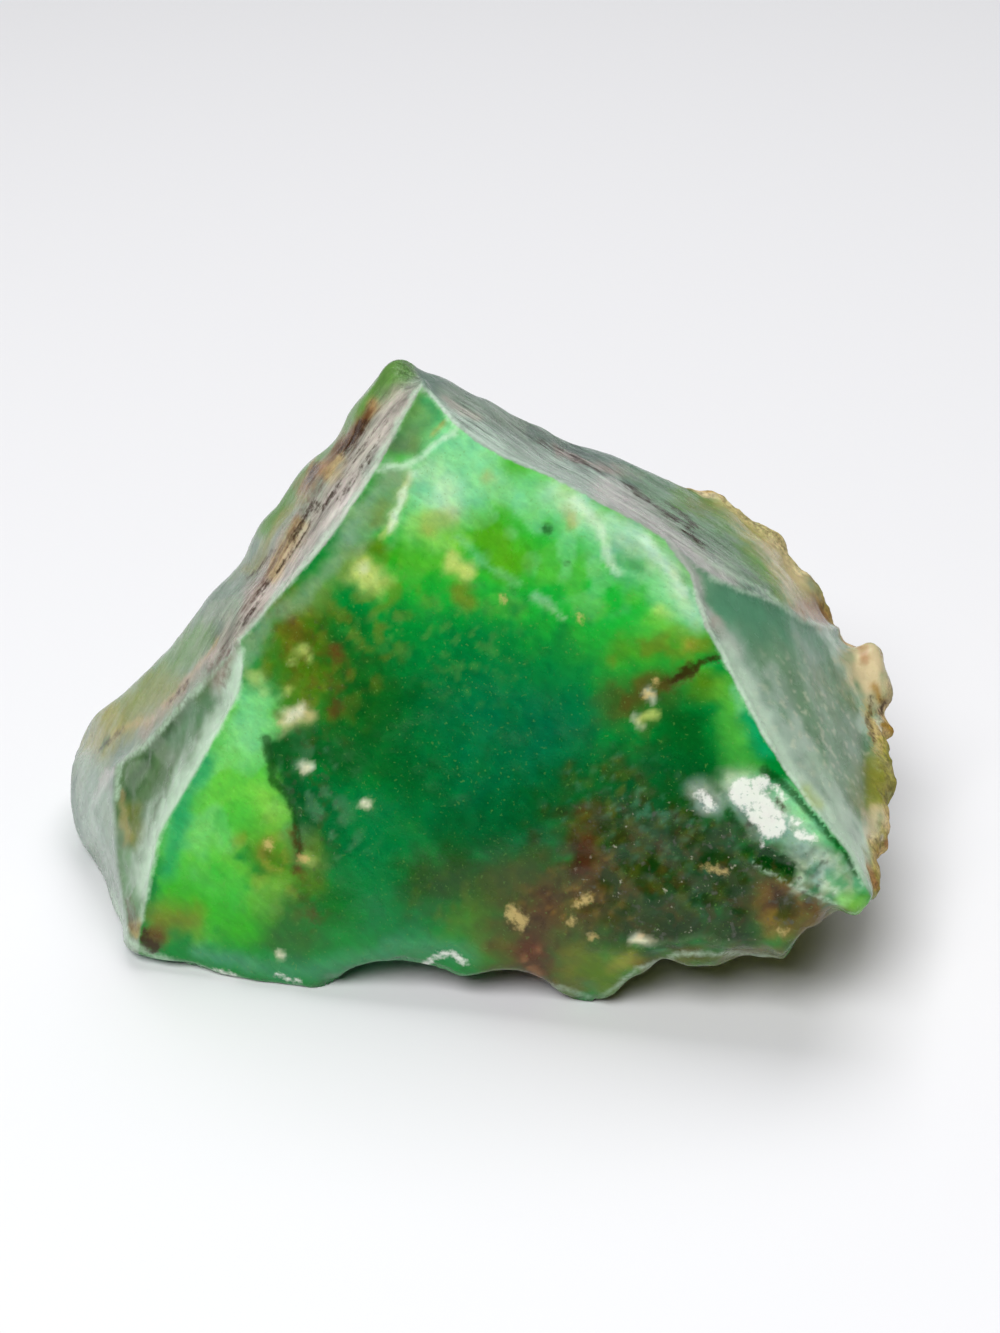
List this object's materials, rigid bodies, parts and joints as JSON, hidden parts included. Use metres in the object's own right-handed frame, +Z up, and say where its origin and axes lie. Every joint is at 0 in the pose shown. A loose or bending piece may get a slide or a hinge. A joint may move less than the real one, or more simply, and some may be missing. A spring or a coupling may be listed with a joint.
{
  "type": "raw chrysoprase",
  "caption": "Rough pyramidal chunk of translucent green chalcedony with sharp broken ridges, a scalloped lip and a knobbly tan crust, resting on a flat break.",
  "frame": {"origin": "bottom centre of the stone's box, in the plane of the flat break that it rests on", "axes": "+X along the stone's longest side, towards the crust; +Y from the large front face to the back; +Z up"},
  "size_m": [0.0454, 0.0316, 0.0288],
  "materials": {
    "chrysoprase": "waxy to glassy polish of a wet, translucent break, with a dull earthy crust along one side"
  },
  "bodies": {
    "root": {"chrysoprase": "chrysoprase"}
  },
  "joints": []
}
